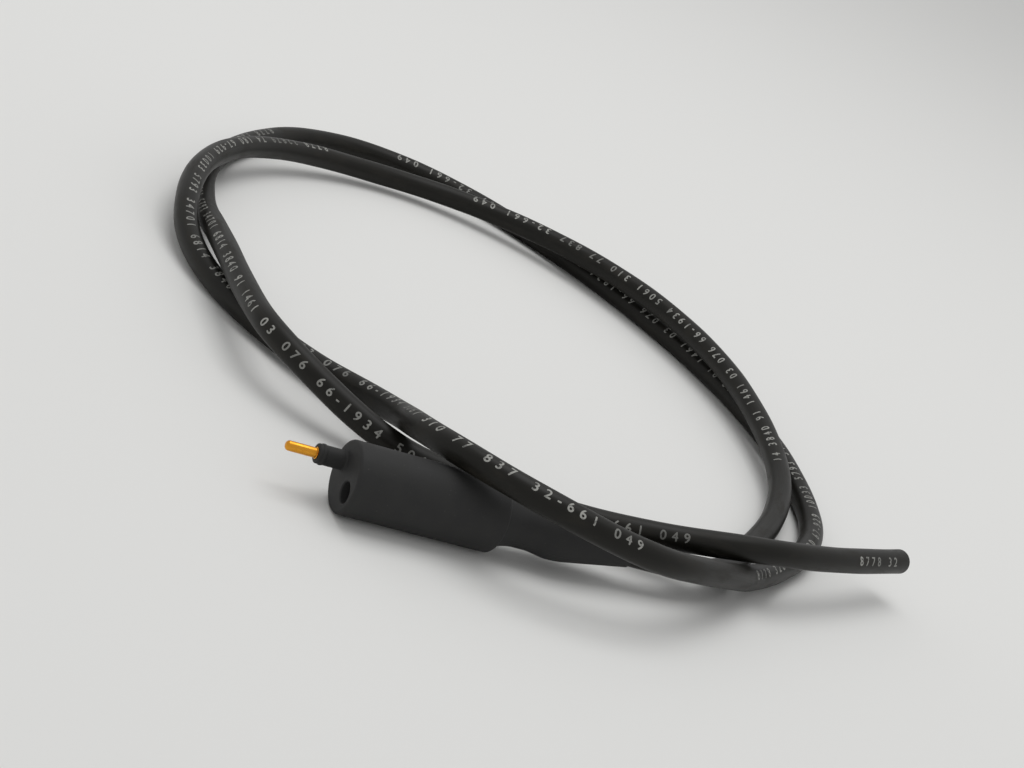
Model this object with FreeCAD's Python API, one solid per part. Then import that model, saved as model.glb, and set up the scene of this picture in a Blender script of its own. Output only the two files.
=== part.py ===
import FreeCAD, Part
import math
import os

from FreeCAD import Placement, Rotation, Vector

# A short lead: a two-contact rubber connector moulded onto a round two-conductor cord.
# The connector lies along X with its mating face towards -X, and rests on the plane z = 0.
# The cord leaves the tail towards +X, lies in two loose turns and ends in a plain cut.
# All sizes are in millimetres.

# Connector body: a rubber cylinder with a rounded rim and a rounded rear shoulder.
BODY_R = 8.0
FACE_X = -26.2
SHOULDER_X = 10.0
RIM_ROUND = 0.8
SHOULDER_ROUND = 1.0
AXIS_Z = BODY_R

# Tail behind the shoulder: a flare, a neck, a slight collar, then a taper down to the cord.
TAIL_END_X = 44.0
FLARE_R = 6.8
FLARE_LENGTH = 6.0
NECK_R = 5.4
NECK_LENGTH = 8.5
COLLAR_R = 6.1
COLLAR_X = 24.5
COLLAR_EASE = 3.0
TAIL_END_R = 3.4
TAIL_LIP_ROUND = 0.3

# Root of the tail, sunk in the body and held by a ridge.
ROOT_X = 6.5
ROOT_R = 5.0
RIDGE_R = 5.8
RIDGE_FRONT_X = 7.2
RIDGE_LENGTH = 1.6

# The two contacts stand opposite each other on a line that leans up from the horizontal.
CONTACT_PITCH_R = 4.05
CONTACT_LEAN_DEG = 25.0

# Pin contact: nose, thicker root inside the sleeve, shank, collar that the carrier holds, solder cup.
PIN_TIP_X = -39.5
PIN_R = 1.1
PIN_NOSE_ROUND = 0.9
ROOT_STEP_X = -32.6
PIN_ROOT_R = 1.3
SHANK_X = -20.0
SHANK_R = 1.5
COLLAR_FRONT_X = -10.5
COLLAR_LENGTH = 2.0
CONTACT_COLLAR_R = 2.1
CUP_END_X = -1.5
CUP_R = 1.35
CUP_BORE_R = 0.8
CUP_BORE_LENGTH = 4.5

# Rubber sleeve round the root of the pin, with a foot inside the body and a bead near its mouth.
SLEEVE_MOUTH_X = -32.5
SLEEVE_R = 2.15
SLEEVE_ROUND = 0.35
SLEEVE_BEAD_R = 2.3
SLEEVE_BEAD_X = -31.2
SLEEVE_BEAD_SECTION_R = 0.4
SLEEVE_FOOT_X = -21.5
SLEEVE_FOOT_R = 2.9

# Socket: a wide bore for the mate's sleeve, then the slotted tube that grips the mate's pin.
SOCKET_BORE_R = 2.35
SOCKET_BORE_END_X = -18.0
SOCKET_MOUTH_ROUND = 0.35
THROAT_R = 1.5
FINGER_X = -17.5
FINGER_R = 1.7
FINGER_BORE_R = 1.14
FINGER_BORE_END_X = -10.9
FINGER_SLOT = 0.4
FINGER_SLOT_LENGTH = 5.0
FINGER_SLOT_ANGLES = (45, 135)
SPRING_R = 1.98
SPRING_X = -17.2
SPRING_LENGTH = 3.6
SPRING_SLOT = 0.6

# Carrier: a rigid disc with a stepped hole for each contact.
CARRIER_X = -12.0
CARRIER_R = 6.3
CARRIER_LENGTH = 5.0

# Solder stands in a small cone at the mouth of each cup.
SOLDER_CONE_R = 1.2
SOLDER_CONE_LENGTH = 0.5

# Shrink sleeve over each solder joint.
SHRINK_X = -6.4
SHRINK_END_X = 1.0
SHRINK_R = 1.75

# Cord: jacket, two insulated conductors side by side, fillers in the valleys, paper wrap.
CORD_R = 3.1
JACKET_BORE_R = 2.32
WRAP_WALL = 0.07
INSULATION_R = 1.03
INSULATION_BORE_R = 0.66
CONDUCTOR_R = 0.62
CONDUCTOR_OFFSET = 1.08
FILLER_R = 0.7
FILLER_OFFSET = 1.44
STRAND_R = 0.12
STRAND_PITCH = 0.252
STRAND_RINGS = 2

# Where the strands start in the solder cups, the insulation starts, the conductors
# turn in and straighten again, and the jacket starts.
STRANDS_X = -5.8
INSULATION_X = -0.8
FAN_X = 1.2
CORE_STRAIGHT_X = 12.2
JACKET_X = 14.0

# Bore at the cut end that holds the visible end of the core.
END_CORE_LENGTH = 14.0
STRANDS_PROUD = 0.25
FILLER_SHY = 0.1

# Room between pieces that are moulded or pressed together.
GAP = 0.02

# The cord's route from the tail to the cut end. Where it crosses itself, one strand lies on the other.
ROUTE = [
    (44, 0, 8), (60, 0, 8), (76, 7, 4.8), (91, 25, 3.1), (107, 46, 3.6), (121, 69, 5.4),
    (127, 99, 7.8), (126, 132, 10), (115, 166, 10), (95, 193, 8), (67, 210, 5.4), (36, 212, 4.2),
    (5, 199, 7), (-21, 174, 10), (-39, 141, 9.6), (-41, 107, 3.5), (-27, 74, 3.1), (-14, 42, 12.5),
    (-6, 14, 25.6), (8, -9, 26.6), (37, -19.5, 20.4), (63, -9, 13), (92, 11, 5.6), (117, 41, 3.1),
    (130, 73, 3.1), (133, 109, 3.1), (126, 145, 3.1), (111, 179, 3.1), (90, 208, 3.1), (66, 228, 3.1),
    (40, 234, 3.1), (14, 225, 3.1), (-7, 203, 3.1), (-23, 174, 3.1), (-31, 142, 3.1), (-34, 110, 9.6),
    (-34, 77, 10.4), (-27, 49, 7.4), (-9, 31, 3.3), (18, 20, 3.3), (46, 13, 8), (78, 8, 14.4),
    (110, 18.5, 13), (136, 31.5, 10),
]

# Share of the shorter run that each arc takes from it.
ARC_SHARE = 0.45

X_AXIS = Vector(1, 0, 0)


def contact_place(side, offset=CONTACT_PITCH_R):
    """Y and z of a point on the leaning line: side is 1 for the pin, -1 for the socket."""
    lean = math.radians(CONTACT_LEAN_DEG)
    return (side * offset * math.cos(lean), AXIS_Z + side * offset * math.sin(lean))


def rod(x0, x1, radius, yz=(0, AXIS_Z)):
    """A cylinder along X from x0 to x1."""
    return Part.makeCylinder(radius, x1 - x0, Vector(x0, yz[0], yz[1]), X_AXIS)


def pipe(x0, x1, outer, inner, yz=(0, AXIS_Z)):
    """A straight tube along X."""
    return rod(x0, x1, outer, yz).cut(rod(x0, x1, inner, yz))


def turned(profile, yz=(0, AXIS_Z)):
    """A solid of revolution about a line along X. The profile is a list of edges in x and radius."""
    face = Part.Face(Part.Wire(profile))
    solid = face.revolve(Vector(0, 0, 0), X_AXIS, 360)
    solid.translate(Vector(0, yz[0], yz[1]))
    return solid


def line(a, b):
    return Part.LineSegment(Vector(a[0], a[1], 0), Vector(b[0], b[1], 0)).toShape()


def arc(a, b, centre, radius):
    """The short arc from a to b about a centre, in x and radius."""
    middle = Vector((a[0] + b[0]) / 2 - centre[0], (a[1] + b[1]) / 2 - centre[1], 0)
    middle.normalize()
    through = Vector(centre[0], centre[1], 0) + middle * radius
    return Part.Arc(Vector(a[0], a[1], 0), through, Vector(b[0], b[1], 0)).toShape()


def round_end_rod(x0, x1, radius, rounding, yz=(0, AXIS_Z)):
    """A rod whose end at x0 has its edge rounded."""
    edges = [
        line((x0, 0), (x0, radius - rounding)),
        arc((x0, radius - rounding), (x0 + rounding, radius), (x0 + rounding, radius - rounding), rounding),
        line((x0 + rounding, radius), (x1, radius)),
        line((x1, radius), (x1, 0)),
        line((x1, 0), (x0, 0)),
    ]
    return turned(edges, yz)


def route_wire(points):
    """Straight runs joined by tangent arcs. Gives the wire, its length and the radii."""
    spots = [Vector(*p) for p in points]
    edges = []
    radii = []
    start = spots[0]
    for i in range(1, len(spots) - 1):
        back = spots[i - 1] - spots[i]
        ahead = spots[i + 1] - spots[i]
        half_turn = (math.pi - back.getAngle(ahead)) / 2
        reach = ARC_SHARE * min(back.Length, ahead.Length)
        back.normalize()
        ahead.normalize()
        enter = spots[i] + back * reach
        leave = spots[i] + ahead * reach
        radius = reach / math.tan(half_turn)
        radii.append(radius)
        inward = back + ahead
        inward.normalize()
        middle = spots[i] + inward * (radius / math.cos(half_turn) - radius)
        edges.append(Part.LineSegment(start, enter).toShape())
        edges.append(Part.Arc(enter, middle, leave).toShape())
        start = leave
    edges.append(Part.LineSegment(start, spots[-1]).toShape())
    wire = Part.Wire(edges)
    return wire, wire.Length, radii


def swept(wire, radius):
    """A round solid of one radius along a wire."""
    first = wire.Edges[0]
    start = first.valueAt(first.FirstParameter)
    along = first.tangentAt(first.FirstParameter)
    ring = Part.Wire(Part.makeCircle(radius, start, along))
    return wire.makePipeShell([ring], True, False)


def conductor_wire(side, x0, x1):
    """A conductor's line: straight behind its contact, an S of two arcs, straight beside the core's axis."""
    drop = CONTACT_PITCH_R - CONDUCTOR_OFFSET
    span = CORE_STRAIGHT_X - FAN_X
    bend = (span ** 2 + drop ** 2) / (4 * drop)
    turn = math.asin(span / 2 / bend)

    def spot(x, offset):
        y, z = contact_place(side, offset)
        return Vector(x, y, z)

    def on_first(angle):
        return spot(FAN_X + bend * math.sin(angle), CONTACT_PITCH_R - bend * (1 - math.cos(angle)))

    def on_second(angle):
        return spot(CORE_STRAIGHT_X - bend * math.sin(angle), CONDUCTOR_OFFSET + bend * (1 - math.cos(angle)))

    edges = [
        Part.LineSegment(spot(x0, CONTACT_PITCH_R), spot(FAN_X, CONTACT_PITCH_R)).toShape(),
        Part.Arc(spot(FAN_X, CONTACT_PITCH_R), on_first(turn / 2), on_first(turn)).toShape(),
        Part.Arc(on_first(turn), on_second(turn / 2), spot(CORE_STRAIGHT_X, CONDUCTOR_OFFSET)).toShape(),
        Part.LineSegment(spot(CORE_STRAIGHT_X, CONDUCTOR_OFFSET), spot(x1, CONDUCTOR_OFFSET)).toShape(),
    ]
    return Part.Wire(edges)


def make_strain_relief():
    flare_end = SHOULDER_X + FLARE_LENGTH
    flare_drop = FLARE_R - NECK_R
    flare_round = (FLARE_LENGTH ** 2 + flare_drop ** 2) / (2 * flare_drop)
    neck_end = SHOULDER_X + NECK_LENGTH
    ridge_end = RIDGE_FRONT_X + RIDGE_LENGTH
    lip = TAIL_LIP_ROUND
    fall = (COLLAR_R - TAIL_END_R) / (TAIL_END_X - COLLAR_X)
    lip_start = (TAIL_END_X - lip, TAIL_END_R + fall * lip)
    rise = [
        Vector(neck_end, NECK_R, 0),
        Vector((neck_end + COLLAR_X) / 2, (NECK_R + COLLAR_R) / 2, 0),
        Vector(COLLAR_X, COLLAR_R, 0),
        Vector(COLLAR_X + COLLAR_EASE, COLLAR_R - fall * COLLAR_EASE, 0),
    ]
    collar = Part.BSplineCurve()
    collar.interpolate(rise)
    edges = [
        line((ROOT_X, 0), (ROOT_X, ROOT_R)),
        line((ROOT_X, ROOT_R), (RIDGE_FRONT_X, ROOT_R)),
        line((RIDGE_FRONT_X, ROOT_R), (RIDGE_FRONT_X, RIDGE_R)),
        line((RIDGE_FRONT_X, RIDGE_R), (ridge_end, RIDGE_R)),
        line((ridge_end, RIDGE_R), (ridge_end, ROOT_R)),
        line((ridge_end, ROOT_R), (SHOULDER_X, ROOT_R)),
        line((SHOULDER_X, ROOT_R), (SHOULDER_X, FLARE_R)),
        arc((SHOULDER_X, FLARE_R), (flare_end, NECK_R), (flare_end, NECK_R + flare_round), flare_round),
        line((flare_end, NECK_R), (neck_end, NECK_R)),
        collar.toShape(),
        line((rise[-1].x, rise[-1].y), lip_start),
        line(lip_start, (TAIL_END_X, TAIL_END_R - lip / 2)),
        line((TAIL_END_X, TAIL_END_R - lip / 2), (TAIL_END_X, 0)),
        line((TAIL_END_X, 0), (ROOT_X, 0)),
    ]
    tail = turned(edges)
    tail = tail.cut(rod(JACKET_X - GAP, TAIL_END_X, CORD_R + GAP))
    for side in (1, -1):
        tail = tail.cut(swept(conductor_wire(side, INSULATION_X, JACKET_X), INSULATION_R + GAP))
    return tail


def body_envelope():
    edges = [
        line((FACE_X, 0), (FACE_X, BODY_R - RIM_ROUND)),
        arc((FACE_X, BODY_R - RIM_ROUND), (FACE_X + RIM_ROUND, BODY_R),
            (FACE_X + RIM_ROUND, BODY_R - RIM_ROUND), RIM_ROUND),
        line((FACE_X + RIM_ROUND, BODY_R), (SHOULDER_X - SHOULDER_ROUND, BODY_R)),
        arc((SHOULDER_X - SHOULDER_ROUND, BODY_R), (SHOULDER_X, BODY_R - SHOULDER_ROUND),
            (SHOULDER_X - SHOULDER_ROUND, BODY_R - SHOULDER_ROUND), SHOULDER_ROUND),
        line((SHOULDER_X, BODY_R - SHOULDER_ROUND), (SHOULDER_X, 0)),
        line((SHOULDER_X, 0), (FACE_X, 0)),
    ]
    return turned(edges)


def socket_mouth():
    """The bore that takes the mate's sleeve, with a rounded mouth."""
    radius = SOCKET_BORE_R
    flare = SOCKET_MOUTH_ROUND
    edges = [
        line((FACE_X, 0), (FACE_X, radius + flare)),
        arc((FACE_X, radius + flare), (FACE_X + flare, radius), (FACE_X + flare, radius + flare), flare),
        line((FACE_X + flare, radius), (SOCKET_BORE_END_X, radius)),
        line((SOCKET_BORE_END_X, radius), (SOCKET_BORE_END_X, 0)),
        line((SOCKET_BORE_END_X, 0), (FACE_X, 0)),
    ]
    return turned(edges, contact_place(-1))


def make_connector_body():
    body = body_envelope()
    pin_yz = contact_place(1)
    socket_yz = contact_place(-1)
    carrier_end = CARRIER_X + CARRIER_LENGTH
    ridge_end = RIDGE_FRONT_X + RIDGE_LENGTH
    room = [
        rod(FACE_X, SLEEVE_FOOT_X, SLEEVE_R + GAP, pin_yz),
        rod(SLEEVE_FOOT_X - GAP, SHANK_X, SLEEVE_FOOT_R + GAP, pin_yz),
        rod(SHANK_X, CARRIER_X, SHANK_R + GAP, pin_yz),
        socket_mouth(),
        rod(SOCKET_BORE_END_X, FINGER_X, THROAT_R, socket_yz),
        rod(FINGER_X - GAP, CARRIER_X, SPRING_R + GAP, socket_yz),
        rod(CARRIER_X - GAP, carrier_end + GAP, CARRIER_R + GAP),
        rod(ROOT_X - GAP, SHOULDER_X, ROOT_R + GAP),
        rod(RIDGE_FRONT_X - GAP, ridge_end + GAP, RIDGE_R + GAP),
    ]
    for side in (1, -1):
        room.append(rod(carrier_end, SHRINK_END_X + GAP, SHRINK_R + GAP, contact_place(side)))
        room.append(swept(conductor_wire(side, INSULATION_X, JACKET_X), INSULATION_R + GAP))
    for hollow in room:
        body = body.cut(hollow)
    return body


def solder_cup(yz):
    """The collar and the hollow cup behind it, the same on both contacts."""
    collar_end = COLLAR_FRONT_X + COLLAR_LENGTH
    cup = rod(COLLAR_FRONT_X, collar_end, CONTACT_COLLAR_R, yz)
    cup = cup.fuse(rod(collar_end, CUP_END_X, CUP_R, yz))
    return cup, rod(CUP_END_X - CUP_BORE_LENGTH, CUP_END_X, CUP_BORE_R, yz)


def make_pin_contact():
    yz = contact_place(1)
    cup, cup_bore = solder_cup(yz)
    pin = round_end_rod(PIN_TIP_X, ROOT_STEP_X, PIN_R, PIN_NOSE_ROUND, yz)
    pin = pin.fuse(rod(ROOT_STEP_X, SHANK_X, PIN_ROOT_R, yz))
    pin = pin.fuse(rod(SHANK_X, COLLAR_FRONT_X, SHANK_R, yz))
    return pin.fuse(cup).cut(cup_bore).removeSplitter()


def make_socket_contact():
    yz = contact_place(-1)
    cup, cup_bore = solder_cup(yz)
    socket = rod(FINGER_X, COLLAR_FRONT_X, FINGER_R, yz).fuse(cup).cut(cup_bore)
    socket = socket.cut(rod(FINGER_X, FINGER_BORE_END_X, FINGER_BORE_R, yz))
    width = 3 * FINGER_R
    for angle in FINGER_SLOT_ANGLES:
        slot = Part.makeBox(FINGER_SLOT_LENGTH, width, FINGER_SLOT, Vector(0, -width / 2, -FINGER_SLOT / 2))
        turn = Placement(Vector(FINGER_X, yz[0], yz[1]), Rotation(X_AXIS, angle))
        slot.Placement = turn.multiply(slot.Placement)
        socket = socket.cut(slot)
    return socket.removeSplitter()


def make_socket_spring():
    yz = contact_place(-1)
    ring = pipe(SPRING_X, SPRING_X + SPRING_LENGTH, SPRING_R, FINGER_R + GAP, yz)
    split = Part.makeBox(SPRING_LENGTH, SPRING_SLOT, 2 * SPRING_R,
                         Vector(SPRING_X, yz[0] - SPRING_SLOT / 2, yz[1]))
    return ring.cut(split)


def make_pin_sleeve():
    yz = contact_place(1)
    sleeve = round_end_rod(SLEEVE_MOUTH_X, SLEEVE_FOOT_X, SLEEVE_R, SLEEVE_ROUND, yz)
    bead_middle = SLEEVE_BEAD_R - SLEEVE_BEAD_SECTION_R
    bead = Part.makeTorus(bead_middle, SLEEVE_BEAD_SECTION_R, Vector(SLEEVE_BEAD_X, yz[0], yz[1]), X_AXIS)
    sleeve = sleeve.fuse(bead)
    sleeve = sleeve.fuse(rod(SLEEVE_FOOT_X, SHANK_X - GAP, SLEEVE_FOOT_R, yz))
    return sleeve.cut(rod(SLEEVE_MOUTH_X, SHANK_X, PIN_ROOT_R + GAP, yz)).removeSplitter()


def make_contact_carrier():
    collar_end = COLLAR_FRONT_X + COLLAR_LENGTH
    carrier = rod(CARRIER_X, CARRIER_X + CARRIER_LENGTH, CARRIER_R)
    for side in (1, -1):
        yz = contact_place(side)
        carrier = carrier.cut(rod(CARRIER_X, collar_end, CONTACT_COLLAR_R + GAP, yz))
        carrier = carrier.cut(rod(collar_end, CARRIER_X + CARRIER_LENGTH, CUP_R + GAP, yz))
    return carrier


def make_solder_joint(side):
    """Solder that fills the cup round the strands and stands in a small cone at its mouth."""
    yz = contact_place(side)
    inner = CONDUCTOR_R + GAP
    cone_x = CUP_END_X + GAP
    fill = rod(STRANDS_X, cone_x, CUP_BORE_R - GAP, yz)
    cone = Part.makeCone(SOLDER_CONE_R, inner + GAP, SOLDER_CONE_LENGTH, Vector(cone_x, yz[0], yz[1]), X_AXIS)
    hole = rod(STRANDS_X, cone_x + SOLDER_CONE_LENGTH, inner, yz)
    return fill.fuse(cone).cut(hole).removeSplitter()


def make_shrink_sleeve(side):
    return pipe(SHRINK_X, SHRINK_END_X, SHRINK_R, CUP_R + GAP, contact_place(side))


def make_conductor(side):
    return swept(conductor_wire(side, STRANDS_X + GAP, TAIL_END_X), CONDUCTOR_R)


def make_conductor_insulation(side):
    wire = conductor_wire(side, INSULATION_X, TAIL_END_X)
    return swept(wire, INSULATION_R).cut(swept(wire, INSULATION_BORE_R))


def end_frame():
    """Place of the cut end: X of the core runs along the last run and ends at the cut."""
    last = Vector(*ROUTE[-1])
    along = last - Vector(*ROUTE[-2])
    along.normalize()
    level = Vector(0, 0, 1).cross(along)
    level.normalize()
    rise = along.cross(level)
    turn = Rotation(along, level, rise, "XYZ")
    return Placement(last, turn)


def at_cut(solid):
    """Moves a solid made along X, ending at x = 0, to the cut end."""
    solid.Placement = end_frame().multiply(solid.Placement)
    return solid


def core_wrap(x0, x1, yz=(0, AXIS_Z)):
    """The paper tube just inside the jacket."""
    outer = JACKET_BORE_R - GAP
    return pipe(x0, x1, outer, outer - WRAP_WALL, yz)


def core_fillers(x0, x1, lean_deg=0.0, yz=(0, AXIS_Z)):
    """Two round bundles in the valleys beside the conductors."""
    lean = math.radians(lean_deg)
    across = -FILLER_OFFSET * math.sin(lean)
    up = FILLER_OFFSET * math.cos(lean)
    both = [rod(x0, x1, FILLER_R, (yz[0] + s * across, yz[1] + s * up)) for s in (1, -1)]
    return Part.makeCompound(both)


def make_cord_jacket(wire):
    jacket = swept(wire, CORD_R)
    bore = at_cut(rod(-END_CORE_LENGTH, 1.0, JACKET_BORE_R, (0, 0)))
    return jacket.cut(bore)


def make_end_wrap():
    return at_cut(core_wrap(-END_CORE_LENGTH + GAP, 0, (0, 0)))


def make_end_insulation(side):
    yz = (side * CONDUCTOR_OFFSET, 0)
    return at_cut(pipe(-END_CORE_LENGTH + GAP, 0, INSULATION_R, INSULATION_BORE_R, yz))


def make_end_strands(side):
    """Nineteen round strands packed in rings about one."""
    strands = []
    for row in range(-STRAND_RINGS, STRAND_RINGS + 1):
        count = 2 * STRAND_RINGS + 1 - abs(row)
        for k in range(count):
            y = (k - (count - 1) / 2) * STRAND_PITCH + side * CONDUCTOR_OFFSET
            z = row * STRAND_PITCH * math.sqrt(3) / 2
            strands.append(rod(-END_CORE_LENGTH + GAP, STRANDS_PROUD, STRAND_R, (y, z)))
    return at_cut(Part.makeCompound(strands))


def make_end_fillers():
    return at_cut(core_fillers(-END_CORE_LENGTH + GAP, -FILLER_SHY, yz=(0, 0)))


def make_jacket_end():
    return pipe(JACKET_X, TAIL_END_X, CORD_R, JACKET_BORE_R)


def least_self_gap(wire, step=1.0, apart=40.0):
    """Least gap between two stretches of the cord that are well apart along it."""
    spots = wire.discretize(Distance=step)
    skip = int(apart / step)
    least = None
    for i in range(0, len(spots), 2):
        for j in range(i + skip, len(spots)):
            away = spots[i].distanceToPoint(spots[j]) - 2 * CORD_R
            if least is None or away < least:
                least = away
    return least


def export(name, shape):
    sound = shape.isValid()
    count = len(shape.Solids)
    print(f"{name}: valid {sound}, solids {count}, volume {shape.Volume:.1f}")
    shape.exportStep(f"parts/{name}.step")


def main():
    os.makedirs("parts", exist_ok=True)
    wire, length, radii = route_wire(ROUTE)
    jacket_tube = swept(wire, CORD_R)
    section = math.pi * CORD_R ** 2
    print(f"cord length {length:.1f}, least radius {min(radii):.1f}")
    print("cord radii", " ".join(f"{r:.0f}" for r in radii))
    print(f"tube volume {jacket_tube.Volume:.0f}, section times length {section * length:.0f}")
    print(f"least gap of the cord to itself {least_self_gap(wire):.2f}")

    export("connector_body", make_connector_body())
    export("strain_relief", make_strain_relief())
    export("pin_sleeve", make_pin_sleeve())
    export("pin_contact", make_pin_contact())
    export("socket_contact", make_socket_contact())
    export("socket_spring", make_socket_spring())
    export("contact_carrier", make_contact_carrier())
    for name, side in (("pin", 1), ("socket", -1)):
        export(f"{name}_solder_joint", make_solder_joint(side))
        export(f"{name}_shrink_sleeve", make_shrink_sleeve(side))
        export(f"{name}_conductor", make_conductor(side))
        export(f"{name}_conductor_insulation", make_conductor_insulation(side))
    export("jacket_end", make_jacket_end())
    export("jacket_end_paper_wrap", core_wrap(JACKET_X, TAIL_END_X))
    export("jacket_end_fillers", core_fillers(JACKET_X, TAIL_END_X, CONTACT_LEAN_DEG))
    export("cord_jacket", make_cord_jacket(wire))
    export("cut_end_paper_wrap", make_end_wrap())
    export("cut_end_fillers", make_end_fillers())
    for name, side in (("black", 1), ("white", -1)):
        export(f"cut_end_{name}_insulation", make_end_insulation(side))
        export(f"cut_end_{name}_strands", make_end_strands(side))


main()
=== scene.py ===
# %% [markdown]
# A short instrument cable: a round black cord with a moulded rubber connector on one end
# and a plain cut on the other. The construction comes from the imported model, which is
# loaded first and never moved. Everything after that is about how the surfaces look.

import math
import random

import bmesh
import bpy
from mathutils import Matrix, Vector


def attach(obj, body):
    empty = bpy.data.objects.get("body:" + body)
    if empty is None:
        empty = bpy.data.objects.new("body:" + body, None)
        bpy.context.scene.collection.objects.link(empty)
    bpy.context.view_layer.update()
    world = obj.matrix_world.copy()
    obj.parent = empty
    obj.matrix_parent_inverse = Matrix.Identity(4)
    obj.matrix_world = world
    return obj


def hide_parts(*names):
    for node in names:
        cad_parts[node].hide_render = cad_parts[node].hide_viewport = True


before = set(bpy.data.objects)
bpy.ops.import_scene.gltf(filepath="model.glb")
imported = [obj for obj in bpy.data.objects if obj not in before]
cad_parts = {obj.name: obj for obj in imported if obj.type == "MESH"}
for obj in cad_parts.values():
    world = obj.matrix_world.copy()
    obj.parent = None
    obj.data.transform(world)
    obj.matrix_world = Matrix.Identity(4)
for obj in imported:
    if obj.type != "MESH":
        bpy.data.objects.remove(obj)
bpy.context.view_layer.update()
MM = 0.001
AXIS_Z = 8.0
print("nodes in the frame:", len(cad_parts))

# %% [markdown]
# Colours are written as the hex values that a colour picker shows. Blender wants linear
# light, so one function turns the first into the second. Node trees, for materials and for
# geometry alike, are built by one small function that adds a node, sets it up and links it.

# %% Colour and node helpers
def linear(hex_colour):
    """An sRGB hex colour as linear red, green, blue and alpha."""
    channels = [int(hex_colour[i:i + 2], 16) / 255 for i in (1, 3, 5)]
    return [c / 12.92 if c <= 0.04045 else ((c + 0.055) / 1.055) ** 2.4 for c in channels] + [1.0]


def add_node(tree, kind, inputs=None, **settings):
    """Adds a node. inputs maps a socket's name or number to a value, a socket or another node."""
    node = tree.nodes.new(kind)
    for name, value in settings.items():
        setattr(node, name, value)
    for key, value in (inputs or {}).items():
        if isinstance(value, bpy.types.Node):
            value = value.outputs[0]
        if isinstance(value, bpy.types.NodeSocket):
            tree.links.new(value, node.inputs[key])
        else:
            node.inputs[key].default_value = value
    return node


# %% [markdown]
# The camera comes before any piece, because everything is judged through it. It stands
# about half a metre away, looks down by twenty degrees and is rolled clockwise, so that the
# cord's loop leans in the picture as it does in the photograph.

# %% Camera
LOOK_AT = Vector((44.7, 85.9, 3.1)) * MM
CAMERA_DISTANCE = 554.9 * MM
CAMERA_HEADING = math.radians(28.0)
CAMERA_DROP = math.radians(20.0)
CAMERA_ROLL = math.radians(27.0)
SENSOR_WIDTH = 36.0
LENS = 76.7
NEAR_CLIP = 10 * MM


def camera_axes():
    """Right, up and forward of the rolled camera."""
    level = math.cos(CAMERA_DROP)
    ahead_x = math.sin(CAMERA_HEADING) * level
    ahead_y = math.cos(CAMERA_HEADING) * level
    forward = Vector((ahead_x, ahead_y, -math.sin(CAMERA_DROP)))
    right = forward.cross(Vector((0, 0, 1))).normalized()
    up = right.cross(forward)
    turned_right = right * math.cos(CAMERA_ROLL) + up * math.sin(CAMERA_ROLL)
    turned_up = up * math.cos(CAMERA_ROLL) - right * math.sin(CAMERA_ROLL)
    return turned_right, turned_up, forward


camera_data = bpy.data.cameras.new("camera")
camera_data.sensor_width = SENSOR_WIDTH
camera_data.lens = LENS
camera_data.clip_start = NEAR_CLIP
camera = bpy.data.objects.new("camera", camera_data)
bpy.context.scene.collection.objects.link(camera)
side, top, ahead = camera_axes()
camera.matrix_world = Matrix((side, top, -ahead)).transposed().to_4x4()
camera.matrix_world.translation = LOOK_AT - ahead * CAMERA_DISTANCE
bpy.context.scene.camera = camera
print("camera at", [round(c, 4) for c in camera.matrix_world.translation])

# %% [markdown]
# A cord is one fixed length of something bendy, so its line comes before its skin. The
# line is a NURBS curve through a short list of control points: it leaves the tail straight,
# drops to the floor, lies in two loose turns that ride over each other, climbs over the
# connector on its way round and ends near where it began. Order 3 keeps the curve close to
# its control points, and the end points are part of the curve.

# %% The cord's line
ROUTE_MM = [
    (44, 0, 8), (60, 0, 8), (75, 9, 4.2), (91, 27, 3.1), (108, 46, 3.6), (121, 69, 5.4),
    (127, 99, 7.8), (126, 132, 10), (115, 166, 10), (95, 193, 8), (67, 210, 5.4), (36, 212, 4.2),
    (5, 199, 7), (-21, 174, 10), (-38, 141, 9.8), (-41.5, 107.5, 3.1), (-25, 67.5, 3.1), (-2, 41.5, 6.8),
    (-8.5, 11, 18), (7, -11.5, 21.2), (38, -19.5, 17.2), (62, -8, 12.4), (88, 12.5, 3.4), (119, 39.5, 3.3),
    (130, 73, 3.1), (133, 109, 3.1), (126, 145, 3.1), (111, 179, 3.1), (90, 208, 3.1), (66, 228, 3.1),
    (40, 234, 3.1), (14, 225, 3.1), (-7, 203, 3.1), (-24, 175, 3.1), (-31, 142, 3.1), (-34.5, 108.5, 9.4),
    (-35, 72, 11.1), (-33.5, 48.5, 13), (-8, 26, 4.8), (15, 21, 4), (47, 12.5, 6.6), (80, 6, 14.2),
    (109, 16, 12.2), (135.5, 30, 10.2),
]
CORD_R = 3.1
LINE_RESOLUTION = 24


def smooth_line(points_mm):
    """A mesh of points and edges that follows the NURBS spline over the control points."""
    curve = bpy.data.curves.new("cord_line", "CURVE")
    curve.dimensions = "3D"
    spline = curve.splines.new("NURBS")
    spline.points.add(len(points_mm) - 1)
    for point, place in zip(spline.points, points_mm):
        point.co = (*[c * MM for c in place], 1.0)
    spline.order_u = 3
    spline.use_endpoint_u = True
    spline.resolution_u = LINE_RESOLUTION
    carrier = bpy.data.objects.new("cord_line", curve)
    bpy.context.scene.collection.objects.link(carrier)
    bpy.context.view_layer.update()
    mesh = bpy.data.meshes.new_from_object(carrier.evaluated_get(bpy.context.evaluated_depsgraph_get()))
    bpy.data.objects.remove(carrier)
    return mesh


rail_mesh = smooth_line(ROUTE_MM)
cord_path = [v.co.copy() for v in rail_mesh.vertices]
lengths = [0.0]
for before, after in zip(cord_path, cord_path[1:]):
    lengths.append(lengths[-1] + (after - before).length)
cord_length = lengths[-1]
print("cord length in mm:", round(cord_length / MM, 1))

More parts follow.
